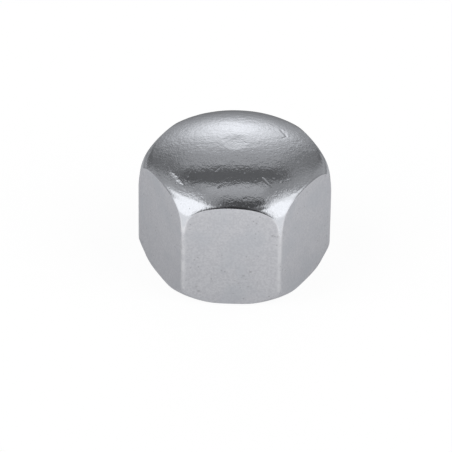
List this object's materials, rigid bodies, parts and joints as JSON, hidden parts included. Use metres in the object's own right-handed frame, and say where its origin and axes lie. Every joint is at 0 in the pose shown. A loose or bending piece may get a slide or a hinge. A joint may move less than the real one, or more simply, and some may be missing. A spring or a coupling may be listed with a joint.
{
  "type": "cap nut",
  "caption": "Low stainless cap nut: a hexagon with a shallow closed crown over a blind tapped hole, which covers and locks a screw's end.",
  "frame": {"origin": "centre of the bearing face, on the thread's axis, at the bottom of the nut", "axes": "+Z along the thread's axis from the bearing face to the crown; one flat of the hexagon faces -Y, and two of its corners lie on +X and -X"},
  "size_m": [0.0196, 0.017, 0.014],
  "materials": {
    "stainless": "satin flats and a tumbled, half-bright crown"
  },
  "bodies": {
    "root": {"cap_nut": "stainless"}
  },
  "joints": []
}
